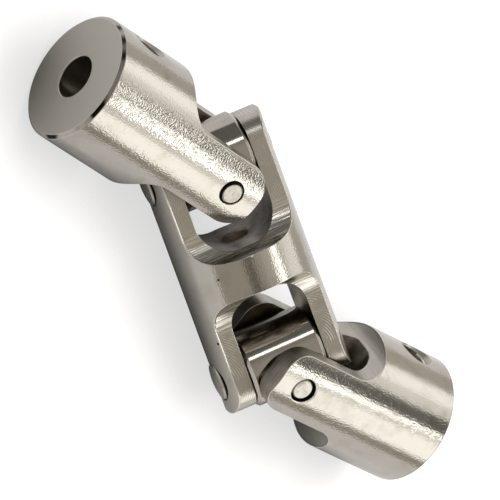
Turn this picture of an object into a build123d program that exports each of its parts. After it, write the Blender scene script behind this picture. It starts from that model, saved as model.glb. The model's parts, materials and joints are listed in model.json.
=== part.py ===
from build123d import *

import os
from math import cos, radians, sin

# Double universal joint of the pin and block kind, nickel plated steel.
#
# Three yokes are turned from one size of round bar. The centre yoke has a pair of ears at each
# end, and each end yoke has one pair. At each joint a short turned block sits between the two
# pairs of ears. A large pin carries it in the centre yoke. A small pin, which crosses the large
# one inside the block and locks it, carries the end yoke.
#
# Millimetres and degrees. The centre yoke lies along X, with Z up and the underside at Z = 0. The
# joint lies bent on a flat surface: all three bars are at one height, with their pins rolled over.

# Yokes
outside_dia = 18.0  # the round bar of all three yokes
joint_spacing = 28.6  # from one joint centre to the other
hub_reach = 25.0  # joint centre to the flat end of an end yoke
end_chamfer = 0.45  # rim of the flat end
ear_width = 9.0  # across the relief flats
ear_reach = 4.4  # joint centre to the ears' ends
ear_corner = 3.2  # radius at both corners of an ear's end
relief_reach = 11.7  # joint centre to where the relief runs out at the outside
relief_corner = 4.3  # radius that the relief cutter leaves at its end
slot_width = 11.0  # between the ears
slot_depth = 11.0  # joint centre to the bottom of the slot
slot_corner = 4.3  # radius at each side of the slot's bottom
waist_bore = 4.0  # hole along the middle of the centre yoke, slot to slot

# Shaft bore and set screw hole
shaft_bore = 6.0
bore_chamfer = 0.1  # broken edge at the bore's mouth
screw_tap = 4.2  # tapping size of an M5 thread
screw_mouth = 5.3  # countersink across at the outside
screw_from_end = 6.0  # hole centre to the flat end

# Blocks
block_dia = 10.4
block_chamfer = 0.45

# Pins
large_pin_dia = 5.4
large_pin_proud = 0.4  # how far the crown of one end stands out of the bar
large_pin_level = 0.05  # and that of the other end
large_pin_dome = 9.0  # radius of the domed ends
large_pin_edge = 0.3  # chamfer round the edge of a dome
small_pin_dia = 3.5
small_pin_length = 17.8
small_pin_shift = 0.3  # how far it was driven in past the middle, so one end stands out
small_pin_chamfer = 0.35
pin_mouth = 0.15  # broken edge of each pin hole

# Clearances
pin_running = 0.03  # radial, a pin that turns in an ear
pin_seat = 0.01  # radial, a pin held in the block, and the small pin in the large one
block_side = 0.2  # between each end of the block and the ear beside it

# How it lies
drive_bend = 38.4  # drive yoke from the centre yoke's line, towards -Y
driven_bend = 44.0  # driven yoke from the centre yoke's line, towards +Y
pin_roll = 26.0  # large pins, up from the flat surface

# Sizes that follow
bar_radius = outside_dia / 2
ear_half = ear_width / 2
block_length = slot_width - 2 * block_side
large_hole = large_pin_dia / 2 + pin_running
small_hole = small_pin_dia / 2 + pin_running
large_seat = large_pin_dia / 2 + pin_seat
small_seat = small_pin_dia / 2 + pin_seat
over = 2.0  # how far cutters run past the metal
from_base = (Align.CENTER, Align.CENTER, Align.MIN)


def joint_outline(length):
    """Ears seen along their pin, joint centre at the origin, with the bar running on to length."""
    ears = Pos((relief_reach - ear_reach) / 2, 0) * Rectangle(relief_reach + ear_reach, ear_width)
    bar_run = length - relief_reach
    outline = ears + Pos(relief_reach + bar_run / 2, 0) * Rectangle(bar_run, 2 * outside_dia)
    tips = outline.vertices().group_by(Axis.X)[0]
    outline = fillet(tips, min(ear_corner, 0.98 * ear_half))
    run_out = []
    for vertex in outline.vertices():
        if abs(vertex.X - relief_reach) < 0.01 and abs(vertex.Y) < bar_radius:
            run_out.append(vertex)
    return fillet(run_out, relief_corner)


def slot_cutter():
    """Slot between two ears whose pin is along Z, open towards -X, with a rounded bottom."""
    mouth = -ear_reach - over
    profile = Pos((slot_depth + mouth) / 2, 0) * Rectangle(slot_depth - mouth, slot_width)
    bottom = profile.vertices().group_by(Axis.X)[-1]
    profile = fillet(bottom, min(slot_corner, 0.49 * slot_width))
    return Rot(90, 0, 0) * extrude(profile, amount=bar_radius + over, both=True)


def yoke_end(length, hole):
    """Round bar with one pair of ears, joint centre at the origin, bar along X, pin along Z."""
    bar = Pos((length - ear_reach) / 2, 0, 0) * Cylinder(
        bar_radius, length + ear_reach, rotation=(0, 90, 0)
    )
    blank = bar & extrude(joint_outline(length), amount=bar_radius + over, both=True)
    blank -= slot_cutter()
    blank -= Cylinder(hole, outside_dia + 2 * over)
    rims = []
    for edge in blank.edges():
        middle = edge.center(CenterOf.BOUNDING_BOX)
        outer = abs(middle.Z) > (slot_width + outside_dia) / 4
        if outer and abs(middle.X) < 0.01 and abs(middle.Y) < 0.01 and edge.length > 2 * hole:
            rims.append(edge)
    return chamfer(rims, pin_mouth)


def screw_hole():
    """Cutter for the set screw's hole along Z, from the axis of the bar out, with its countersink."""
    sink = (screw_mouth - screw_tap) / 2
    mouth = Cone(screw_tap / 2, screw_mouth / 2 + over, sink + over, align=from_base)
    return Cylinder(screw_tap / 2, bar_radius, align=from_base) + Pos(0, 0, bar_radius - sink) * mouth


def end_yoke():
    """End yoke, joint centre at the origin, shaft bore along X, small pin along Z, screw at +Y."""
    yoke = yoke_end(hub_reach, small_hole)
    yoke = chamfer(yoke.faces().sort_by(Axis.X)[-1].edges(), end_chamfer)
    bore_run = hub_reach - slot_depth + slot_corner
    yoke -= Pos(hub_reach - bore_run / 2, 0, 0) * Cylinder(
        shaft_bore / 2, bore_run, rotation=(0, 90, 0)
    )
    bore_rim = yoke.faces().sort_by(Axis.X)[-1].edges().sort_by(SortBy.LENGTH)[0]
    yoke = chamfer(bore_rim, bore_chamfer)
    return yoke - Pos(hub_reach - screw_from_end, 0, 0) * Rot(-90, 0, 0) * screw_hole()


def centre_yoke():
    """Centre yoke, its middle at the origin, along X, with both large pins along Y."""
    half = Pos(-joint_spacing / 2, 0, 0) * yoke_end(joint_spacing / 2, large_hole)
    yoke = half + mirror(half, Plane.YZ)
    yoke -= Cylinder(waist_bore / 2, joint_spacing, rotation=(0, 90, 0))
    return Rot(90, 0, 0) * yoke


def block():
    """Turned block with the large pin's hole along Y and the small pin's along Z."""
    body = chamfer(Cylinder(block_dia / 2, block_length).edges(), block_chamfer)
    body -= Cylinder(large_seat, block_length + over)
    return Rot(90, 0, 0) * body - Cylinder(small_seat, block_dia + over)


def domed_half(reach):
    """Half of a large pin along Z, from its middle to the crown of its domed end.

    The ball lies on its side, so that neither of its poles is in the dome, which gives fewer facets.
    """
    half = Cylinder(large_pin_dia / 2, reach, align=from_base)
    half &= Pos(0, 0, reach - large_pin_dome) * Rot(90, 0, 0) * Sphere(large_pin_dome)
    return chamfer(half.faces().sort_by(Axis.Z)[-1].edges(), large_pin_edge)


def large_pin():
    """Pin across the centre yoke's ears along Y, drilled for the small pin, standing out at -Y."""
    proud = domed_half(bar_radius + large_pin_proud)
    level = mirror(domed_half(bar_radius + large_pin_level), Plane.XY)
    pin = Rot(90, 0, 0) * (proud + level)
    return pin - Cylinder(small_seat, large_pin_dia + over)


def small_pin():
    """Pin across an end yoke's ears along Z, with flat chamfered ends, shifted towards -Z."""
    pin = Cylinder(small_pin_dia / 2, small_pin_length)
    pin = chamfer(pin.edges().filter_by(GeomType.CIRCLE), small_pin_chamfer)
    return Pos(0, 0, -small_pin_shift) * pin


# Both large pins point the same way, and each small pin is square to the large one and to its yoke.
large_axis = Vector(0, cos(radians(pin_roll)), sin(radians(pin_roll)))
joint_centres = {
    "drive": Vector(-joint_spacing / 2, 0, bar_radius),
    "driven": Vector(joint_spacing / 2, 0, bar_radius),
}
hub_axes = {
    "drive": Vector(-cos(radians(drive_bend)), -sin(radians(drive_bend)), 0),
    "driven": Vector(cos(radians(driven_bend)), sin(radians(driven_bend)), 0),
}

lying = Plane((0, 0, bar_radius), x_dir=(1, 0, 0), z_dir=Vector(1, 0, 0).cross(large_axis))
pieces = {"centre_yoke": lying.location * centre_yoke()}
for side, hub_axis in hub_axes.items():
    centre = joint_centres[side]
    small_axis = hub_axis.cross(large_axis).normalized()
    at_yoke = Plane(centre, x_dir=hub_axis, z_dir=small_axis).location
    at_cross = Plane(centre, x_dir=large_axis.cross(small_axis), z_dir=small_axis).location
    pieces[f"{side}_yoke"] = at_yoke * end_yoke()
    pieces[f"{side}_block"] = at_cross * block()
    pieces[f"{side}_large_pin"] = at_cross * large_pin()
    pieces[f"{side}_small_pin"] = at_cross * small_pin()

# The origin is under the middle of the whole joint as it lies.
whole = Compound(list(pieces.values())).bounding_box()
foot = Vector(whole.center().X, whole.center().Y, whole.min.Z)

os.makedirs("parts", exist_ok=True)
for name, piece in pieces.items():
    export_step(Pos(-foot) * piece, f"parts/{name}.step")
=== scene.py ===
"""Finish, light and camera for a double universal joint of nickel plated steel.

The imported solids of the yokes, blocks and large pins are kept and get procedural materials that
follow how each surface was made: turned and tumbled bar, milled reliefs and slots, faced ends,
drilled bores. The screw threads and the small pins with their worn ends are modelled here.
"""

import json
import logging
import math
from dataclasses import dataclass, replace
from enum import Enum

import bmesh
import bpy
from mathutils import Matrix, Vector


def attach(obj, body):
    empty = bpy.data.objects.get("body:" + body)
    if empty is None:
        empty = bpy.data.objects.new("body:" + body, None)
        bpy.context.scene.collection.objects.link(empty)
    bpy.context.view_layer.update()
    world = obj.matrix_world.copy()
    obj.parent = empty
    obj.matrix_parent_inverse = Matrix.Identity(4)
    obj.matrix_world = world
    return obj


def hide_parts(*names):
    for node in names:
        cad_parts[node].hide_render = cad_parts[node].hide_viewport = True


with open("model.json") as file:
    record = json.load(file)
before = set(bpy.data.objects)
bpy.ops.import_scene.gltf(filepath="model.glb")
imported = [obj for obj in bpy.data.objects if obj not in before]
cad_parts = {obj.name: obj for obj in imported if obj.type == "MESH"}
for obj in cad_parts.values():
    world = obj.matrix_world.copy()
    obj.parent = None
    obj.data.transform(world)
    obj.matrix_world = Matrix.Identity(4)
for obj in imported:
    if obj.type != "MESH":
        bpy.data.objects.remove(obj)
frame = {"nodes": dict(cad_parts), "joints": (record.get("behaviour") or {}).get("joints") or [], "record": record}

LOG = logging.getLogger("joint")
MM = 0.001
Y, Z = Vector((0, 1, 0)), Vector((0, 0, 1))

# The normal of a flat end's face has a z past this.
FLAT = 0.99

# Corners closer than this, in millimetres, are made one.
WELD = 0.0005

# An area lamp's power for each square metre of it and each 1 of its brightness.
LAMP_POWER = 4.0

# Radians by which the wave texture turns over one unit, at a scale of 1.
WAVE_RADIANS = 20.0

Triple = tuple[float, float, float]

# Two measures between which a mask rises: it is 0 at the first and 1 at the second.
Band = tuple[float, float]

# A piece's middle, where a mask passes from one half of it to the other.
MIDDLE: Band = (-0.1, 0.1)

# On the axis of a set screw's hole, in the end yoke's own millimetres.
SCREW_CENTRE: Triple = (19.0, 0.0, 0.0)


class Side(Enum):
    """The two ends of the double joint."""

    DRIVE = "drive"
    DRIVEN = "driven"


def linear(hex_colour: str) -> tuple[float, float, float, float]:
    """Turns an sRGB hex colour into the linear colour that shaders take.

    Args:
        hex_colour: The colour as #RRGGBB.

    Returns:
        Red, green, blue and an alpha of 1.
    """
    channels = [int(hex_colour[i : i + 2], 16) / 255 for i in (1, 3, 5)]
    decoded = [c / 12.92 if c <= 0.04045 else ((c + 0.055) / 1.055) ** 2.4 for c in channels]
    return (*decoded, 1.0)


def add_node(
    tree: bpy.types.NodeTree, kind: str, settings: dict | None = None, links: dict | None = None
) -> bpy.types.Node:
    """Adds a node to a tree with its settings and links.

    Args:
        tree: The tree that gets the node.
        kind: The node's type name.
        settings: Values by name or socket number. A name that isn't a socket is a property.
        links: Output sockets by the name or number of the input that they feed.

    Returns:
        The new node.
    """
    node = tree.nodes.new(kind)
    for name, value in (settings or {}).items():
        if isinstance(name, int) or name in node.inputs:
            node.inputs[name].default_value = value
        else:
            setattr(node, name, value)
    for name, socket in (links or {}).items():
        tree.links.new(socket, node.inputs[name])
    return node


@dataclass(frozen=True)
class Value:
    """A number that a shader works out. Arithmetic with it adds the nodes for the result."""

    socket: bpy.types.NodeSocket

    def computed(self, operation: str, *others: "Value | float") -> "Value":
        """Adds one step of arithmetic.

        Args:
            operation: Its name, such as MULTIPLY.
            others: The values or numbers that follow this one in it.

        Returns:
            The result.
        """
        settings, links = {"operation": operation}, {0: self.socket}
        for number, other in enumerate(others, start=1):
            if isinstance(other, Value):
                links[number] = other.socket
            else:
                settings[number] = other
        node = add_node(self.socket.id_data, "ShaderNodeMath", settings, links)
        return Value(node.outputs["Value"])

    def __add__(self, other: "Value | float") -> "Value":
        """Adds another value or number to this one."""
        return self.computed("ADD", other)

    def __sub__(self, other: "Value | float") -> "Value":
        """Takes another value or number from this one."""
        return self.computed("SUBTRACT", other)

    def __rsub__(self, number: float) -> "Value":
        """Takes this value from a number, as in 1 - mask, the opposite of a mask."""
        return self.computed("MULTIPLY_ADD", -1.0, number)

    def __mul__(self, other: "Value | float") -> "Value":
        """Multiplies this value by another or by a number."""
        return self.computed("MULTIPLY", other)

    def __abs__(self) -> "Value":
        """Drops this value's sign."""
        return self.computed("ABSOLUTE")

    def at_least(self, other: "Value | float") -> "Value":
        """Gives the larger of this value and another value or number."""
        return self.computed("MAXIMUM", other)

    def rising(self, band: Band, past: float = 0.0) -> "Value":
        """Adds a mask with soft ends by how large this value is.

        Args:
            band: Where the mask is 0 and where it is 1. The second may be the smaller.
            past: The size that the band counts from.

        Returns:
            The mask.
        """
        settings = {
            "interpolation_type": "SMOOTHSTEP",
            "From Min": past + min(band),
            "From Max": past + max(band),
            "To Min": float(band[1] < band[0]),
            "To Max": float(band[1] > band[0]),
        }
        node = add_node(self.socket.id_data, "ShaderNodeMapRange", settings, {"Value": self.socket})
        return Value(node.outputs["Result"])


def distance(first: Value, second: Value) -> Value:
    """Adds the distance between two points from their distances in two square directions."""
    return (first * first + second * second).computed("SQRT")


def layered(
    tree: bpy.types.NodeTree, base: str | float, layers: list[tuple[Value, str | float]]
) -> bpy.types.NodeSocket:
    """Adds the mixes that lay colours or numbers over each other, each where its mask is 1.

    Args:
        tree: The tree that gets the mixes.
        base: The hex colour or the number under all of them.
        layers: Masks, each with the hex colour or the number that it brings.

    Returns:
        The socket with the mixed colour or number.
    """
    # A mix has a pair of inputs for each kind of value, all named alike, so they go by number.
    colours = isinstance(base, str)
    kind, below, above, result = ("RGBA", 6, 7, 2) if colours else ("FLOAT", 2, 3, 0)
    mixed = None
    for mask, value in layers:
        settings = {"data_type": kind, above: linear(value) if colours else value}
        links = {0: mask.socket}
        if mixed is None:
            settings[below] = linear(base) if colours else base
        else:
            links[below] = mixed
        mixed = add_node(tree, "ShaderNodeMix", settings, links).outputs[result]
    return mixed


@dataclass(frozen=True)
class Place:
    """A part's own frame in the row frame: an origin and three square axes."""

    origin: Vector
    x: Vector
    y: Vector
    z: Vector

    @property
    def turn(self) -> Matrix:
        """Rotation from the part's own axes to the row's."""
        return Matrix((self.x, self.y, self.z)).transposed()

    @property
    def matrix(self) -> Matrix:
        """Transform from the part's own millimetres to the row's metres."""
        return Matrix.Translation(self.origin) @ self.turn.to_4x4() @ Matrix.Scale(MM, 4)

    def coordinates(self, tree: bpy.types.NodeTree) -> bpy.types.NodeSocket:
        """Adds the nodes that give a point in the part's own millimetres.

        Args:
            tree: The material's tree.

        Returns:
            The socket with the point.
        """
        inward = self.turn.transposed()
        seen = add_node(tree, "ShaderNodeTexCoord")
        settings = {
            "vector_type": "POINT",
            "Location": -(inward @ self.origin) / MM,
            "Rotation": inward.to_euler(),
            "Scale": (1 / MM, 1 / MM, 1 / MM),
        }
        mapping = add_node(tree, "ShaderNodeMapping", settings, {"Vector": seen.outputs["Object"]})
        return mapping.outputs["Vector"]


@dataclass(frozen=True)
class Cross:
    """Where one joint's centre is, and the directions of its pins and of its end yoke."""

    centre: Vector
    large_axis: Vector
    small_axis: Vector
    hub_axis: Vector

    @classmethod
    def read(cls, side: Side) -> "Cross":
        """Reads a joint's place from the frame's two hinges and its shaft's mount.

        Args:
            side: Which end.

        Returns:
            The joint's place.
        """
        hinges = {joint["name"]: joint for joint in frame["joints"]}
        mounts = {mount["name"]: mount for mount in frame["record"]["mounts"]}
        swing = hinges[f"{side.value}_swing"]
        fold = hinges[f"{side.value}_fold"]
        shaft = mounts[f"{side.value}_shaft"]
        axes = (Vector(item["axis"]).normalized() for item in (swing, fold, shaft))
        return cls(Vector(swing["pos_m"]), *axes)

    @property
    def yoke_place(self) -> Place:
        """Frame of the end yoke: bar along x, set screw along y, small pin along z."""
        across = self.small_axis.cross(self.hub_axis)
        return Place(self.centre, self.hub_axis, across, self.small_axis)

    @property
    def cross_place(self) -> Place:
        """Frame of the block: large pin along y, small pin along z."""
        along = self.large_axis.cross(self.small_axis)
        return Place(self.centre, along, self.large_axis, self.small_axis)


@dataclass(frozen=True)
class Lumps:
    """Unevenness of a surface: how wide and how high its lumps are, in millimetres.

    The stretch is how much finer they are along each of the part's axes, and the detail is how
    many finer layers they have.
    """

    size: float
    height: float = 1.0
    stretch: Triple = (1, 1, 1)
    detail: float = 3.0


@dataclass(frozen=True)
class Patches:
    """Ragged patches, which are there where the lumps are higher than the band."""

    lumps: Lumps
    border: Band


@dataclass(frozen=True)
class NickelPlate:
    """Bright nickel on steel, a warm grey metal that copies every mark of the cutting.

    Worn edges are lighter, partly from wear and partly as a painted highlight, and the ridges, lips,
    burrs and thread crests get that painted highlight too. Cut surfaces are a little duller, brown stain
    sits where a polishing wheel doesn't reach, pits and the gap round each pin's end are painted near
    black as shade, and patches of a hub's rim are painted dark as reflections.
    """

    colour: str = "#AEABA4"
    dull_colour: str = "#A19D94"
    slot_colour: str = "#A59E96"
    drilled_colour: str = "#BFB4A9"
    bore_colour: str = "#9A938A"
    stain_colour: str = "#5E5146"
    ridge_highlight_colour: str = "#D2CEC6"
    wear_and_highlight_colour: str = "#EFECE6"
    painted_dark_colour: str = "#1C1916"
    edge_radius: float = 0.13
    edge_samples: int = 8

    # How closely the softened normal follows the facet's own, off and on an edge that is painted lighter for wear
    # and as a highlight.
    edge: Band = (0.985, 0.9)


@dataclass
class MetalTree:
    """A metal material that is put together surface by surface, in one part's own millimetres."""

    name: str
    place: Place
    plate: NickelPlate

    def __post_init__(self) -> None:
        """Makes the material with its shader, coordinates and softened edges."""
        self.material = bpy.data.materials.new(self.name)
        self.material.use_nodes = True
        self.tree = self.material.node_tree
        self.tree.nodes.clear()
        self.shader = add_node(self.tree, "ShaderNodeBsdfPrincipled", {"Metallic": 1.0})
        links = {"Surface": self.shader.outputs["BSDF"]}
        add_node(self.tree, "ShaderNodeOutputMaterial", None, links)
        self.point = self.place.coordinates(self.tree)
        parts = add_node(self.tree, "ShaderNodeSeparateXYZ", None, {0: self.point})
        self.x, self.y, self.z = (Value(socket) for socket in parts.outputs)
        settings = {"samples": self.plate.edge_samples, "Radius": self.plate.edge_radius * MM}
        self.soft = add_node(self.tree, "ShaderNodeBevel", settings).outputs["Normal"]
        self.heights: list[Value] = []

    def flattened(self, keep: Triple, centre: Triple = (0, 0, 0)) -> bpy.types.NodeSocket:
        """Adds the way to a point from a line along one of the part's axes.

        Args:
            keep: 1 for each coordinate that counts and 0 for the one along the line.
            centre: A point on the line, in the part's millimetres.

        Returns:
            The socket with the vector in millimetres.
        """
        kind = "ShaderNodeVectorMath"
        away = add_node(self.tree, kind, {"operation": "SUBTRACT", 1: centre}, {0: self.point})
        links = {0: away.outputs["Vector"]}
        flat = add_node(self.tree, kind, {"operation": "MULTIPLY", 1: keep}, links)
        return flat.outputs["Vector"]

    def radius_about(self, keep: Triple, centre: Triple = (0, 0, 0)) -> Value:
        """Adds the distance from a line along one of the part's axes, or from a point.

        Args:
            keep: 1 for each coordinate that counts and 0 for the one along the line.
            centre: A point on the line, or the point itself, in the part's millimetres.

        Returns:
            The distance in millimetres.
        """
        links = {0: self.flattened(keep, centre)}
        length = add_node(self.tree, "ShaderNodeVectorMath", {"operation": "LENGTH"}, links)
        return Value(length.outputs["Value"])

    def noise(self, lumps: Lumps) -> Value:
        """Adds noise with lumps of a given width.

        Args:
            lumps: The lumps, of which the height isn't used.

        Returns:
            The noise, from 0 to 1.
        """
        settings = {"operation": "MULTIPLY", 1: lumps.stretch}
        scaled = add_node(self.tree, "ShaderNodeVectorMath", settings, {0: self.point})
        settings = {"Scale": 1 / lumps.size, "Detail": lumps.detail, "Roughness": 0.55}
        links = {"Vector": scaled.outputs["Vector"]}
        return Value(add_node(self.tree, "ShaderNodeTexNoise", settings, links).outputs["Fac"])

    def raised(self, lumps: Lumps) -> Value:
        """Adds an uneven height in millimetres."""
        return self.noise(lumps) * lumps.height

    def spread(self, patches: Patches) -> Value:
        """Adds the mask of some patches."""
        return self.noise(patches.lumps).rising(patches.border)

    def rings(self, pitch: float) -> Value:
        """Adds the rings that a facing tool leaves as the part turns about its own x axis.

        Args:
            pitch: Spacing of the rings in millimetres.

        Returns:
            The rings, from 0 to 1.
        """
        settings = {
            "wave_type": "RINGS",
            "rings_direction": "SPHERICAL",
            "Scale": 2 * math.pi / (WAVE_RADIANS * pitch),
            "Distortion": 1.6,
            "Detail": 2.0,
            "Detail Scale": 0.35,
        }
        links = {"Vector": self.flattened((0, 1, 1))}
        return Value(add_node(self.tree, "ShaderNodeTexWave", settings, links).outputs["Fac"])

    def edge_mask(self) -> Value:
        """Adds the mask of the edges, painted lighter for wear and as a highlight, where the softened normal
        leaves the facet's own.

        Returns:
            The mask.
        """
        geometry = add_node(self.tree, "ShaderNodeNewGeometry")
        links = {0: self.soft, 1: geometry.outputs["True Normal"]}
        dot = add_node(self.tree, "ShaderNodeVectorMath", {"operation": "DOT_PRODUCT"}, links)
        return Value(dot.outputs["Value"]).rising(self.plate.edge)

    def close(
        self,
        colour: tuple[str, list[tuple[Value, str]]],
        roughness: tuple[float, list[tuple[Value, float]]],
    ) -> bpy.types.Material:
        """Links colour, roughness and relief to the shader.

        Args:
            colour: The hex colour underneath, and the layers over it.
            roughness: The roughness underneath, and the layers over it.

        Returns:
            The finished material.
        """
        total = sum(self.heights[1:], self.heights[0])
        links = {"Height": total.socket, "Normal": self.soft}
        bump = add_node(self.tree, "ShaderNodeBump", {"Strength": 1.0, "Distance": MM}, links)
        feeds = {
            "Normal": bump.outputs["Normal"],
            "Base Color": layered(self.tree, *colour),
            "Roughness": layered(self.tree, *roughness),
        }
        for name, socket in feeds.items():
            self.tree.links.new(socket, self.shader.inputs[name])
        return self.material


@dataclass(frozen=True)
class YokeForm:
    """Sizes of a yoke in millimetres, by which its material tells one cut surface from another."""

    bar_radius: float = 9.0
    slot_half: float = 5.5
    slot_depth: float = 11.0
    slot_corner: float = 4.3
    half_spacing: float = 14.3
    bore_radius: float = 3.0
    waist_bore_radius: float = 2.0
    end_reach: float = 25.0

    # Along the bar from a joint's centre: where a relief starts to run out into the round, and
    # where the streaks and the lip of the run-out end. The lip is painted lighter for wear and as a highlight.
    run_out: Band = (6.8, 7.6)
    feed_end: Band = (14.0, 12.5)
    lip_end: Band = (15.0, 14.4)

    # About the waist hole: where the slot's bottom is stained, and past which its edges are painted lighter for
    # wear and as a highlight.
    stained_mouth: Band = (3.6, 1.8)
    worn_and_highlit_past_mouth: Band = (2.3, 2.8)

    # Counted from the bar's outside, the walls of the slot and of a hole, and the faced end.
    outside: Band = (-0.07, -0.03)
    lip: Band = (-0.24, -0.06)
    slot_wall: Band = (0.06, 0.03)
    hole_wall: Band = (0.05, 0.02)
    faced_end: Band = (-0.03, -0.01)
    hub_rim: Band = (-0.5, -0.4)


@dataclass(frozen=True)
class Mark:
    """A small mark on a yoke, in its own millimetres: a pit painted near black as shade, or a burr with a painted
    glint.
    """

    centre: Triple
    radius: float
    painted_glint: bool = False


@dataclass(frozen=True)
class CutMasks:
    """Where each of a yoke's surfaces is, from 0 to 1, and the distance from the bar's axis."""

    radius: Value
    turned: Value
    cut: Value
    slot: Value
    milled: Value
    arcs: Value
    feed: Value
    lip: Value
    hole: Value


@dataclass(frozen=True)
class CutterArcs:
    """Arcs that an end mill left on the ears' flats in one sweep over each ear, in millimetres.

    The mill's middle passed the ears a little way inward from the joint's centre, first beside
    one ear and then one step further across. The arcs wander a little and fade in patches.
    """

    inward: float = 0.45
    across: float = 2.7
    step: float = 14.2
    pitch: float = 0.33
    height: float = 0.014
    crest: Band = (-0.2, 1.0)
    wander: Lumps = Lumps(2.4, 0.3)
    patches: Patches = Patches(Lumps(1.8), (0.38, 0.60))

    def ridges(self, metal: MetalTree, inward: Value, across: Value) -> Value:
        """Adds the thin ridges between the cuts.

        Args:
            metal: The material that is being made.
            inward: Distance from the joint's centre along the bar, in millimetres.
            across: Distance from the middle of the bar towards one ear.

        Returns:
            The ridges, from 0 to 1.
        """
        other_ear = 1 - across.rising(MIDDLE)
        off = across - self.across + other_ear * self.step
        reach = distance(off, inward - self.inward) + metal.raised(self.wander)
        wave = (reach * (2 * math.pi / self.pitch)).computed("SINE")
        return wave.rising(self.crest) * metal.spread(self.patches)


@dataclass(frozen=True)
class YokeFinish:
    """Turned bar with milled reliefs and slots, tumbled and then nickel plated.

    The round outside is grainy with a sharp gloss, so bright and dark bands run along it with
    speckled borders. Reliefs keep the cutter's arcs and the run-outs' streaks, whose ridges get a
    painted highlight, slots are smoother and duller, and the faced end is an even grey.
    """

    plate: NickelPlate
    form: YokeForm

    # The real speckle is finer than this and too fine to show, so it is drawn at 0.21 mm.
    grain: Lumps = Lumps(0.21, 0.018, detail=0.3)
    waves: Lumps = Lumps(2.4, 0.02, (0.35, 1, 1))
    cut_grain: Lumps = Lumps(0.5, 0.002)
    slot_waves: Lumps = Lumps(1.3, 0.008)

    # A facing tool's rings are closer, as a guess, and too fine to show, so these are coarser.
    turning_pitch: float = 0.16
    turning_height: float = 0.0006
    faced_grain: Lumps = Lumps(0.35, 0.0012)

    # The streaks of the run-outs are long across the bar, and faint on a hub.
    feed_pitch: float = 0.42
    feed_stretch: float = 0.06
    feed_border: Band = (0.35, 0.65)
    feed_height: float = 0.024
    hub_feed_share: float = 0.2

    # The arcs are whole near an end yoke's joint and in one half of the centre yoke.
    arcs: CutterArcs = CutterArcs()
    whole_arcs: Band = (8.0, 5.0)
    arc_share: float = 0.5

    # How far a relief's lip and the burrs stand out and the pits go in.
    lip_height: float = 0.05
    mark_height: float = 0.06
    mark_core: float = 0.6

    # Stain lies in slots and by the waist hole, where no wheel reaches, and patches of a hub's rim are painted
    # dark as reflections.
    stain: Patches = Patches(Lumps(3.5), (0.45, 0.8))
    nicks: Patches = Patches(Lumps(0.9), (0.60, 0.68))
    dark_rim_patches: Patches = Patches(Lumps(5.0, detail=1.0), (0.50, 0.58))
    slot_stain: Patches = Patches(Lumps(1.5), (0.42, 0.62))
    slot_stain_share: float = 0.45
    hole_streaks: Patches = Patches(Lumps(0.9, stretch=(1, 1, 0.4)), (0.30, 0.50))

    # The turned outside mirrors sharply, and each cut surface blurs what it mirrors.
    turned_roughness: float = 0.11
    milled_roughness: float = 0.30
    feed_roughness: float = 0.24
    slot_roughness: float = 0.30
    faced_roughness: float = 0.42
    drilled_roughness: float = 0.60
    bore_roughness: float = 0.35
    edge_roughness: float = 0.30

    def material(
        self, name: str, place: Place, bored: bool, marks: tuple[Mark, ...]
    ) -> bpy.types.Material:
        """Makes the material of one yoke.

        Args:
            name: The material's name.
            place: The yoke's own frame, with its bar along x.
            bored: True for an end yoke, with its bore and faced end.
            marks: The pits and burrs that this yoke has.

        Returns:
            The material.
        """
        plate = self.plate
        metal = MetalTree(name, place, plate)
        masks = self.cut_masks(metal, bored)
        metal.heights += [
            masks.arcs * self.arcs.height,
            masks.feed * self.feed_height,
            masks.lip * self.lip_height,
            metal.raised(self.grain) * masks.turned,
            metal.raised(self.waves) * masks.turned,
            metal.raised(self.cut_grain) * masks.cut,
            metal.raised(self.slot_waves) * masks.slot,
        ]
        slot_stain = metal.spread(self.slot_stain) * self.slot_stain_share * masks.slot
        # The ridges of the arcs and streaks are painted lighter as highlights, and the lip lighter for wear and as
        # a highlight.
        colours = [
            (metal.spread(self.stain), plate.dull_colour),
            (masks.arcs, plate.ridge_highlight_colour),
            (masks.feed, plate.ridge_highlight_colour),
            (masks.lip, plate.wear_and_highlight_colour),
            (masks.slot, plate.slot_colour),
            (slot_stain, plate.stain_colour),
            (masks.hole, plate.bore_colour if bored else plate.drilled_colour),
        ]
        gloss = [
            (masks.milled, self.milled_roughness),
            (masks.feed, self.feed_roughness),
            (masks.slot, self.slot_roughness),
            (masks.hole, self.bore_roughness if bored else self.drilled_roughness),
        ]
        edge = metal.edge_mask()
        if bored:
            self.face_end(metal, masks, colours, gloss)
        else:
            edge = edge * masks.radius.rising(self.form.worn_and_highlit_past_mouth)
            near = masks.radius.rising(self.form.stained_mouth) * masks.slot
            colours.append((near * metal.spread(self.hole_streaks), plate.stain_colour))
        # The edges are painted lighter, partly for wear and partly as a highlight.
        gloss.append((edge, self.edge_roughness))
        colours.append((edge, plate.wear_and_highlight_colour))
        colours.append((metal.spread(self.nicks) * edge, plate.slot_colour))
        # Pits are painted near black as shade, and burrs get a painted glint.
        for mark in marks:
            spot = self.spot(metal, mark)
            colours.append((spot, plate.wear_and_highlight_colour if mark.painted_glint else plate.painted_dark_colour))
            gloss.append((spot, self.edge_roughness))
        return metal.close((plate.colour, colours), (self.turned_roughness, gloss))

    def spot(self, metal: MetalTree, mark: Mark) -> Value:
        """Adds a small mark's hollow, or the height of a burr.

        Args:
            metal: The material that is being made.
            mark: The mark.

        Returns:
            The mark's mask.
        """
        away = metal.radius_about((1, 1, 1), mark.centre)
        mask = away.rising((mark.radius, self.mark_core * mark.radius))
        metal.heights.append(mask * (self.mark_height if mark.painted_glint else -self.mark_height))
        return mask

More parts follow.
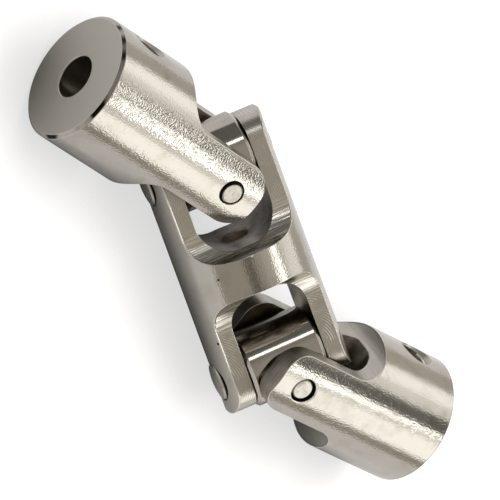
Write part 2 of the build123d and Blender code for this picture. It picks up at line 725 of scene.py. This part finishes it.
    def face_end(self, metal: MetalTree, masks: CutMasks, colours: list, gloss: list) -> None:
        """Adds the faced end of a hub with its turning rings, and patches on its rim that are painted dark as
        reflections.

        Args:
            metal: The material that is being made.
            masks: The yoke's surfaces.
            colours: The colour layers, which it adds to.
            gloss: The roughness layers, which it adds to.
        """
        form, plate = self.form, self.plate
        end = metal.x.rising(form.faced_end, form.end_reach)
        metal.heights.append(metal.rings(self.turning_pitch) * self.turning_height * end)
        metal.heights.append(metal.raised(self.faced_grain) * end)
        rim = metal.x.rising(form.hub_rim, form.end_reach) * masks.milled * (1 - end)
        colours.append((end, plate.colour))
        colours.append((rim * metal.spread(self.dark_rim_patches), plate.painted_dark_colour))
        gloss.append((end, self.faced_roughness))
        gloss.append((rim, self.edge_roughness))

    def cut_masks(self, metal: MetalTree, bored: bool) -> CutMasks:
        """Adds the masks of a yoke's surfaces, by where each point lies on it.

        Args:
            metal: The material that is being made.
            bored: True for an end yoke, whose slot crosses along y instead of z.

        Returns:
            The masks.
        """
        form = self.form
        radius = metal.radius_about((0, 1, 1))
        turned = radius.rising(form.outside, form.bar_radius)
        cut = 1 - turned
        if bored:
            inward, across = metal.x, metal.z
            stretch = (1, 1, self.feed_stretch)
            whole = inward.rising(self.whole_arcs)
            hole_radius = form.bore_radius
        else:
            inward, across = form.half_spacing - abs(metal.x), metal.y
            stretch = (1, self.feed_stretch, 1)
            whole = metal.x.rising(MIDDLE)
            hole_radius = form.waist_bore_radius
        slot = self.in_slot(inward, across) * cut
        milled = (1 - slot) * cut
        run_out = inward.rising(form.run_out)
        streaks = Patches(Lumps(self.feed_pitch, stretch=stretch, detail=1.0), self.feed_border)
        feed = metal.spread(streaks) * run_out * milled * inward.rising(form.feed_end)
        if bored:
            feed = feed * self.hub_feed_share
        arcs = self.arcs.ridges(metal, inward, across) * milled * (1 - run_out)
        arcs = arcs * whole.at_least(self.arc_share)
        lip = radius.rising(form.lip, form.bar_radius) * milled * inward.rising(form.lip_end)
        hole = radius.rising(form.hole_wall, hole_radius)
        return CutMasks(radius, turned, cut, slot, milled, arcs, feed, lip, hole)

    def in_slot(self, inward: Value, across: Value) -> Value:
        """Adds the mask of the slot's outline, with a round corner at each side of its bottom.

        Args:
            inward: Distance from the joint's centre along the bar, in millimetres.
            across: Distance from the middle of the bar towards one ear.

        Returns:
            The mask, 1 in the slot and on its walls.
        """
        form = self.form
        past = (inward - (form.slot_depth - form.slot_corner)).at_least(0.0)
        beside = (abs(across) - (form.slot_half - form.slot_corner)).at_least(0.0)
        return distance(past, beside).rising(form.slot_wall, form.slot_corner)


@dataclass(frozen=True)
class BlockFinish:
    """Turned bar polished before plating, so it mirrors its surroundings in clean bands."""

    plate: NickelPlate
    radius: float = 5.2
    outside: Band = (-0.06, -0.03)
    polish: Lumps = Lumps(0.4, 0.0018, (1, 2.5, 1))
    waves: Lumps = Lumps(1.6, 0.006, (1, 0.4, 1))
    stain: Patches = Patches(Lumps(2.5), (0.45, 0.8))
    roughness: float = 0.11
    face_roughness: float = 0.2

    def material(self, name: str, place: Place) -> bpy.types.Material:
        """Makes the material of one block.

        Args:
            name: The material's name.
            place: The cross's frame. The block is turned about its y axis.

        Returns:
            The material.
        """
        metal = MetalTree(name, place, self.plate)
        outside = metal.radius_about((1, 0, 1)).rising(self.outside, self.radius)
        metal.heights += [metal.raised(self.polish) * outside, metal.raised(self.waves)]
        colours = [(metal.spread(self.stain), self.plate.dull_colour)]
        gloss = [(outside, self.roughness)]
        return metal.close((self.plate.colour, colours), (self.face_roughness, gloss))


@dataclass(frozen=True)
class PinFinish:
    """Ground pin, its ends dressed flush and lightly hammered, so their gloss is broken up.

    The chamfer round each end is painted near black as shade in the gap to its hole. One small pin has an arc
    struck in its end.
    """

    plate: NickelPlate
    cap_radius: float
    across: Triple
    cap_shift: Triple = (0.0, 0.0, 0.0)
    struck: bool = False
    grain: Lumps = Lumps(0.25, 0.006)
    dents: Lumps = Lumps(1.3, 0.02)
    stain: Patches = Patches(Lumps(0.8), (0.4, 0.75))
    gap_shade: Band = (-0.02, 0.06)
    roughness: float = 0.27
    stained_roughness: float = 0.35
    gap_shade_roughness: float = 0.6
    arc_centre: Triple = (-0.45, -0.04, 0.0)
    arc_radius: float = 0.59
    arc_half_width: float = 0.24
    arc_depth: float = 0.045
    arc_fade: float = 0.5

    def material(self, name: str, place: Place) -> bpy.types.Material:
        """Makes the material of one pin.

        Args:
            name: The material's name.
            place: The cross's frame.

        Returns:
            The material.
        """
        metal = MetalTree(name, place, self.plate)
        metal.heights += [metal.raised(self.grain), metal.raised(self.dents)]
        if self.struck:
            metal.heights.append(self.struck_arc(metal) * -self.arc_depth)
        stain = metal.spread(self.stain)
        radius = metal.radius_about(self.across, self.cap_shift)
        # Painted shade: the chamfer round the end is painted near black, for the gap to its hole.
        gap_shade = radius.rising(self.gap_shade, self.cap_radius)
        colours = [(stain, self.plate.dull_colour), (gap_shade, self.plate.painted_dark_colour)]
        gloss = [(stain, self.stained_roughness), (gap_shade, self.gap_shade_roughness)]
        return metal.close((self.plate.colour, colours), (self.roughness, gloss))

    def struck_arc(self, metal: MetalTree) -> Value:
        """Adds the groove of a punch's rim, which bit on one side only.

        Args:
            metal: The material that is being made.

        Returns:
            The groove's depth, from 0 to 1.
        """
        off = abs(metal.radius_about((1, 1, 0), self.arc_centre) - self.arc_radius)
        side = metal.x.rising((0.0, -self.arc_fade), self.arc_centre[0])
        return off.rising((self.arc_half_width, 0.0)) * side


@dataclass(frozen=True)
class ThreadFinish:
    """Thread that was cut with a tap and plated: its crests are painted bright as a highlight and its roots
    duller.
    """

    plate: NickelPlate
    hole_centre: Triple = SCREW_CENTRE
    root: Band = (1.9, 2.06)
    grain: Lumps = Lumps(0.3, 0.004)
    roughness: float = 0.34
    root_roughness: float = 0.44

    def material(self, name: str, place: Place) -> bpy.types.Material:
        """Makes the material of one thread.

        Args:
            name: The material's name.
            place: The end yoke's frame. The thread runs along its y axis.

        Returns:
            The material.
        """
        metal = MetalTree(name, place, self.plate)
        root = metal.radius_about((1, 0, 1), self.hole_centre).rising(self.root)
        metal.heights.append(metal.raised(self.grain))
        colours = [(root, self.plate.slot_colour)]
        gloss = [(root, self.root_roughness)]
        return metal.close((self.plate.wear_and_highlight_colour, colours), (self.roughness, gloss))


def finish_mesh(
    bm: bmesh.types.BMesh, name: str, place: Place, material: bpy.types.Material
) -> bpy.types.Object:
    """Turns a bmesh in a part's own millimetres into an object that sits at the row's origin.

    Args:
        bm: The shape, which is freed.
        name: The piece's name.
        place: The frame that the shape is drawn in.
        material: Its finish.

    Returns:
        The new object.
    """
    bmesh.ops.remove_doubles(bm, verts=bm.verts, dist=WELD)
    bmesh.ops.recalc_face_normals(bm, faces=bm.faces)
    bmesh.ops.transform(bm, matrix=place.matrix, verts=bm.verts)
    mesh = bpy.data.meshes.new(name)
    bm.to_mesh(mesh)
    bm.free()
    mesh.materials.append(material)
    piece = bpy.data.objects.new(name, mesh)
    bpy.context.scene.collection.objects.link(piece)
    LOG.info("%s: %d faces", name, len(mesh.polygons))
    return piece


@dataclass(frozen=True)
class SetScrewThread:
    """Thread of a set screw's tapped hole, seen from outside as turns that stand in the hole.

    The turns start a hair inside the hole's wall, so that no gap shows behind them.
    """

    centre: Triple = SCREW_CENTRE
    hole_radius: float = 2.1
    wall_overlap: float = 0.03
    pitch: float = 0.8
    crest: float = 0.24
    crest_half: float = 0.07
    root_half: float = 0.33
    inner_end: float = 3.3
    outer_end: float = 8.2
    steps_per_turn: int = 48

    def shape(self) -> bmesh.types.BMesh:
        """Sweeps the ridge's profile up the hole, which runs out along the yoke's own y axis.

        Returns:
            The thread in the end yoke's own millimetres.
        """
        bm = bmesh.new()
        wall = self.hole_radius + self.wall_overlap
        inside = self.hole_radius - self.crest
        profile = (
            (wall, -self.root_half),
            (inside, -self.crest_half),
            (inside, self.crest_half),
            (wall, self.root_half),
        )
        from_joint = self.centre[0]
        points = ((from_joint + radius, self.inner_end + level, 0) for radius, level in profile)
        corners = [bm.verts.new(point) for point in points]
        first_ring = [bm.edges.new((corners[i - 1], corners[i])) for i in range(len(corners))]
        turns = (self.outer_end - self.inner_end) / self.pitch
        steps = round(turns * self.steps_per_turn)
        swept = bmesh.ops.spin(
            bm,
            geom=corners + first_ring,
            cent=self.centre,
            axis=Y,
            dvec=Y * (self.pitch * turns / steps),
            angle=turns * 2 * math.pi,
            steps=steps,
            use_merge=False,
            use_duplicate=False,
        )
        last_ring = [item for item in swept["geom_last"] if isinstance(item, bmesh.types.BMEdge)]
        for ring in (first_ring, last_ring):
            bmesh.ops.edgeloop_fill(bm, edges=ring)
        return bm


@dataclass(frozen=True)
class SmallPin:
    """Pin across an end yoke, with chamfered ends that are dished where it was driven in."""

    diameter: float = 3.5
    length: float = 17.8
    shift: float = 0.3
    chamfer: float = 0.43
    edge: float = 0.07
    dish_inset: float = 0.32
    dish_depth: float = 0.05
    facets: int = 72

    def shape(self) -> bmesh.types.BMesh:
        """Makes the pin along the cross's own z axis.

        Returns:
            The pin in the cross's own millimetres.
        """
        bm = bmesh.new()
        bmesh.ops.create_cone(
            bm,
            cap_ends=True,
            segments=self.facets,
            radius1=self.diameter / 2,
            radius2=self.diameter / 2,
            depth=self.length,
        )
        self.bevel_ends(bm, self.chamfer, 1)
        self.bevel_ends(bm, self.edge, 2)
        for direction in (-1, 1):
            cap = max(bm.faces, key=lambda face: face.calc_center_median().z * direction)
            bmesh.ops.inset_region(
                bm,
                faces=[cap],
                thickness=self.dish_inset,
                depth=-self.dish_depth,
                use_even_offset=True,
            )
        for face in bm.faces:
            face.smooth = abs(face.normal.z) < FLAT
        bmesh.ops.translate(bm, vec=-Z * self.shift, verts=bm.verts)
        return bm

    def bevel_ends(self, bm: bmesh.types.BMesh, width: float, segments: int) -> None:
        """Bevels the rim of both flat ends.

        Args:
            bm: The pin.
            width: Width of the bevel in millimetres.
            segments: 1 for a chamfer and more for a rounded edge.
        """
        rims = []
        for face in bm.faces:
            if abs(face.normal.z) > FLAT and len(face.verts) == self.facets:
                rims.extend(face.edges)
        bmesh.ops.bevel(
            bm,
            geom=rims,
            offset=width,
            offset_type="OFFSET",
            affect="EDGES",
            segments=segments,
            profile=0.5,
            material=-1,
        )


@dataclass
class DoubleJoint:
    """The whole joint: three yokes, two blocks and four pins."""

    yoke_finish: YokeFinish
    block_finish: BlockFinish
    large_pin_finish: PinFinish
    small_pin_finish: dict[Side, PinFinish]
    thread_finish: ThreadFinish
    thread: SetScrewThread
    small_pin: SmallPin
    marks: dict[str, tuple[Mark, ...]]

    def dress(self, node: str, material: bpy.types.Material) -> None:
        """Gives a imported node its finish."""
        frame["nodes"][node].material_slots[0].material = material
        LOG.info("%s: %s", node, material.name)

    def build_side(self, side: Side) -> None:
        """Dresses one end's pieces and adds its thread and its small pin.

        Args:
            side: Which end.
        """
        cross = Cross.read(side)
        name = side.value
        marks = self.marks.get(f"{name}_yoke", ())
        yoke = self.yoke_finish.material(f"{name}_yoke_nickel_plate", cross.yoke_place, True, marks)
        self.dress(f"{name}_yoke", yoke)
        block = self.block_finish.material(f"{name}_block_polished_nickel", cross.cross_place)
        self.dress(f"{name}_block", block)
        large = self.large_pin_finish.material(f"{name}_large_pin_nickel", cross.cross_place)
        self.dress(f"{name}_large_pin", large)
        pin = self.small_pin_finish[side].material(f"{name}_small_pin_nickel", cross.cross_place)
        cut = self.thread_finish.material(f"{name}_cut_thread_nickel", cross.yoke_place)
        thread = finish_mesh(self.thread.shape(), f"{name}_set_screw_thread", cross.yoke_place, cut)
        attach(thread, f"{name}_yoke")
        pin_shape = self.small_pin.shape()
        small = finish_mesh(pin_shape, f"{name}_dished_small_pin", cross.cross_place, pin)
        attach(small, f"{name}_cross")
        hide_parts(f"{name}_small_pin")

    def build_centre(self) -> None:
        """Dresses the centre yoke, whose frame has its bar along x and its large pins along y."""
        ends = [Cross.read(side) for side in Side]
        middle = (ends[0].centre + ends[1].centre) / 2
        along = (ends[1].centre - ends[0].centre).normalized()
        place = Place(middle, along, ends[0].large_axis, along.cross(ends[0].large_axis))
        marks = self.marks.get("centre_yoke", ())
        material = self.yoke_finish.material("centre_yoke_nickel_plate", place, False, marks)
        self.dress("centre_yoke", material)


def from_angles(azimuth: float, elevation: float) -> Vector:
    """Gives the direction at an azimuth from +X and an elevation, both in degrees."""
    turn, rise = math.radians(azimuth), math.radians(elevation)
    return Matrix.Rotation(turn, 3, "Z") @ Vector((math.cos(rise), 0, math.sin(rise)))


def facing(target: Vector, direction: Vector, reach: float, tilt: float) -> Matrix:
    """Gives the place of a lamp or a camera that faces a point.

    Args:
        target: The point.
        direction: The way from the point to the lamp or camera.
        reach: How far away it is, in metres.
        tilt: How far its width is turned up from level, in degrees.

    Returns:
        The transform of the lamp or camera.
    """
    level = Z.cross(direction).normalized()
    turn = math.radians(tilt)
    across = math.cos(turn) * level + math.sin(turn) * direction.cross(level)
    axes = Matrix((across, direction.cross(across), direction)).transposed().to_4x4()
    return Matrix.Translation(target + direction * reach) @ axes


@dataclass(frozen=True)
class SoftBox:
    """A rectangular studio lamp that faces the part, by its direction, size and brightness.

    Angles are in degrees and sizes in metres. The tilt turns its width up from level.
    """

    name: str
    azimuth: float
    elevation: float
    width: float
    height: float
    brightness: float
    tilt: float = 0.0
    distance: float = 0.6
    in_reflections: bool = True

    def build(self, target: Vector) -> None:
        """Makes the lamp.

        Args:
            target: The point that it faces.
        """
        lamp = bpy.data.lights.new(self.name, "AREA")
        lamp.shape = "RECTANGLE"
        lamp.size = self.width
        lamp.size_y = self.height
        lamp.energy = LAMP_POWER * self.width * self.height * self.brightness
        holder = bpy.data.objects.new(self.name, lamp)
        direction = from_angles(self.azimuth, self.elevation)
        holder.matrix_world = facing(target, direction, self.distance, self.tilt)
        holder.visible_glossy = self.in_reflections
        bpy.context.scene.collection.objects.link(holder)


@dataclass(frozen=True)
class WallSpot:
    """A lighter or darker patch of the studio's walls, by its direction and its fading edge.

    All angles are in degrees. The patch is whole inside the inner one and gone at the outer one.
    """

    azimuth: float
    elevation: float
    inner: float
    outer: float
    colour: str

    def mask(self, tree: bpy.types.NodeTree, seen: bpy.types.NodeSocket) -> Value:
        """Adds the mask of the patch.

        Args:
            tree: The world's tree.
            seen: The socket with the direction that is looked in.

        Returns:
            The mask.
        """
        settings = {"operation": "DOT_PRODUCT", 1: from_angles(self.azimuth, self.elevation)}
        between = add_node(tree, "ShaderNodeVectorMath", settings, {0: seen})
        outer, inner = (math.cos(math.radians(angle)) for angle in (self.outer, self.inner))
        return Value(between.outputs["Value"]).rising((outer, inner))


@dataclass(frozen=True)
class Camera:
    """The camera, which looks down on the part with the picture turned on its side.

    Its target and distance are in millimetres and its angles in degrees.
    """

    target: Triple = (-0.25, 0.61, 9.67)
    azimuth: float = -115.26
    elevation: float = 49.51
    roll: float = 89.64
    distance: float = 980.0
    lens: float = 530.07

    def build(self) -> None:
        """Makes the camera and gives it to the scene."""
        data = bpy.data.cameras.new("camera")
        data.lens = self.lens
        holder = bpy.data.objects.new("camera", data)
        back = from_angles(self.azimuth, self.elevation)
        holder.matrix_world = facing(Vector(self.target) * MM, back, self.distance * MM, self.roll)
        bpy.context.scene.collection.objects.link(holder)
        bpy.context.scene.camera = holder


@dataclass(frozen=True)
class Studio:
    """Pale floor, soft lamps, grey surroundings and the camera."""

    camera: Camera = Camera()
    lamps: tuple[SoftBox, ...] = (
        SoftBox("right_box", -2, 26, 0.42, 0.28, 0.68),
        SoftBox("right_glow", -2, 31, 0.40, 0.42, 0.62),
        SoftBox("back_box", 84, 35, 0.20, 0.20, 0.45),
        SoftBox("back_glow", 78, 40, 0.38, 0.33, 0.55),
        SoftBox("top_strip", 16, 54, 0.18, 0.05, 2.8, tilt=38),
        SoftBox("low_strip", 13, 47.3, 0.18, 0.020, 5.0, tilt=-22),
        SoftBox("top_box", 50, 65, 0.17, 0.13, 1.8, tilt=20),
        SoftBox("left_strip", -165, 50, 0.36, 0.06, 3.2),
        SoftBox("back_fill", 65, 52, 0.75, 0.75, 1.0, in_reflections=False),
    )
    floor_radius: float = 1.5
    floor_segments: int = 96
    floor_colour: str = "#CCCACC"
    floor_roughness: float = 0.9
    floor_lift: float = 0.68
    reflected_lift: float = 0.32
    shade_reach: float = 0.014
    shade_power: float = 1.6
    shade_samples: int = 8
    surround: str = "#C4BDB0"
    shaded_surround: str = "#7C7A76"
    back_surround: str = "#DEDACF"

    # By the x and y of the direction: where the walls turn darker on the left, lighter behind.
    left_fade: Band = (-0.2, -0.75)
    back_fade: Band = (0.25, 0.65)
    wall_spots: tuple[WallSpot, ...] = (
        WallSpot(37.0, 51.0, 6.3, 12.8, "#86827A"),
        WallSpot(27.0, 73.0, 4.0, 20.0, "#E4DED2"),
        WallSpot(-60.0, 56.0, 3.5, 12.0, "#8A8378"),
    )

    def paper(self) -> bpy.types.Material:
        """Makes matt white paper, which glows a little so that it looks white but keeps a shadow.
        Near the part its colour and its mirrored glow are painted darker, as a contact shadow.

        Returns:
            The material.
        """
        material = bpy.data.materials.new("matt_white_paper")
        material.use_nodes = True
        tree = material.node_tree
        tree.nodes.clear()
        # Painted shadow: nearness to the part darkens the paper's colour and its glow in reflections, and that
        # glow is weaker than the one seen directly.
        settings = {"samples": self.shade_samples, "Distance": self.shade_reach}
        near = add_node(tree, "ShaderNodeAmbientOcclusion", settings)
        open_share = Value(near.outputs["AO"]).computed("POWER", self.shade_power)
        settings = {"Roughness": self.floor_roughness, "Specular IOR Level": 0.0}
        shaded = layered(tree, "#000000", [(open_share, self.floor_colour)])
        sheet = add_node(tree, "ShaderNodeBsdfPrincipled", settings, {"Base Color": shaded})
        path = add_node(tree, "ShaderNodeLightPath")
        rays = ("Is Camera Ray", "Is Glossy Ray", "Is Transmission Ray")
        seen, mirrored, passed = (Value(path.outputs[ray]) for ray in rays)
        reflected = mirrored.at_least(passed) * open_share * self.reflected_lift
        lift = (seen * self.floor_lift).at_least(reflected)
        glow = add_node(tree, "ShaderNodeEmission", None, {"Strength": lift.socket})
        links = {0: sheet.outputs["BSDF"], 1: glow.outputs["Emission"]}
        both = add_node(tree, "ShaderNodeAddShader", None, links)
        add_node(tree, "ShaderNodeOutputMaterial", None, {"Surface": both.outputs["Shader"]})
        return material

    def floor(self) -> None:
        """Makes the round floor of white paper."""
        bm = bmesh.new()
        bmesh.ops.create_circle(
            bm, cap_ends=True, segments=self.floor_segments, radius=self.floor_radius
        )
        mesh = bpy.data.meshes.new("floor")
        bm.to_mesh(mesh)
        bm.free()
        mesh.materials.append(self.paper())
        piece = bpy.data.objects.new("floor", mesh)
        bpy.context.scene.collection.objects.link(piece)

    def surroundings(self) -> None:
        """Gives the world the greys of a studio's walls."""
        world = bpy.data.worlds.new("studio")
        bpy.context.scene.world = world
        world.use_nodes = True
        tree = world.node_tree
        tree.nodes.clear()
        seen = add_node(tree, "ShaderNodeTexCoord").outputs["Generated"]
        parts = add_node(tree, "ShaderNodeSeparateXYZ", None, {0: seen})
        left = Value(parts.outputs["X"]).rising(self.left_fade)
        back = Value(parts.outputs["Y"]).rising(self.back_fade)
        layers = [(left, self.shaded_surround), (back, self.back_surround)]
        layers.extend((spot.mask(tree, seen), spot.colour) for spot in self.wall_spots)
        links = {"Color": layered(tree, self.surround, layers)}
        glow = add_node(tree, "ShaderNodeBackground", None, links)
        add_node(tree, "ShaderNodeOutputWorld", None, {"Surface": glow.outputs["Background"]})

    def build(self) -> None:
        """Makes the lamps, the floor, the world and the camera."""
        for lamp in self.lamps:
            lamp.build(Vector(self.camera.target) * MM)
        self.floor()
        self.surroundings()
        self.camera.build()
        bpy.context.scene.view_settings.view_transform = "Standard"
        LOG.info("studio: %d lamps", len(self.lamps))


def main() -> None:
    """Builds the studio and dresses the joint."""
    logging.basicConfig(level=logging.INFO, format="%(name)s %(message)s")
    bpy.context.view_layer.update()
    plate = NickelPlate()
    small_pin = PinFinish(plate, cap_radius=1.42, across=(1, 1, 0), cap_shift=(-0.12, 0.0, 0.0))
    small_pins = {Side.DRIVE: small_pin, Side.DRIVEN: replace(small_pin, struck=True)}
    marks = {
        "drive_yoke": (Mark((24.34, 8.74, -1.03), 0.26),),
        "centre_yoke": (
            Mark((8.20, -7.92, 4.27), 0.24),
            Mark((-0.77, -5.47, 7.14), 0.20),
            Mark((-2.78, -0.03, 8.98), 0.24),
            Mark((-2.55, -0.45, 8.99), 0.22, painted_glint=True),
            Mark((-10.67, -6.21, 6.51), 0.22, painted_glint=True),
            Mark((-9.41, -6.12, 6.60), 0.24, painted_glint=True),
        ),
    }
    joint = DoubleJoint(
        YokeFinish(plate, YokeForm()),
        BlockFinish(plate),
        PinFinish(plate, cap_radius=2.58, across=(1, 0, 1)),
        small_pins,
        ThreadFinish(plate),
        SetScrewThread(),
        SmallPin(),
        marks,
    )
    joint.build_centre()
    for side in Side:
        joint.build_side(side)
    Studio().build()


if __name__ == "__main__":
    main()
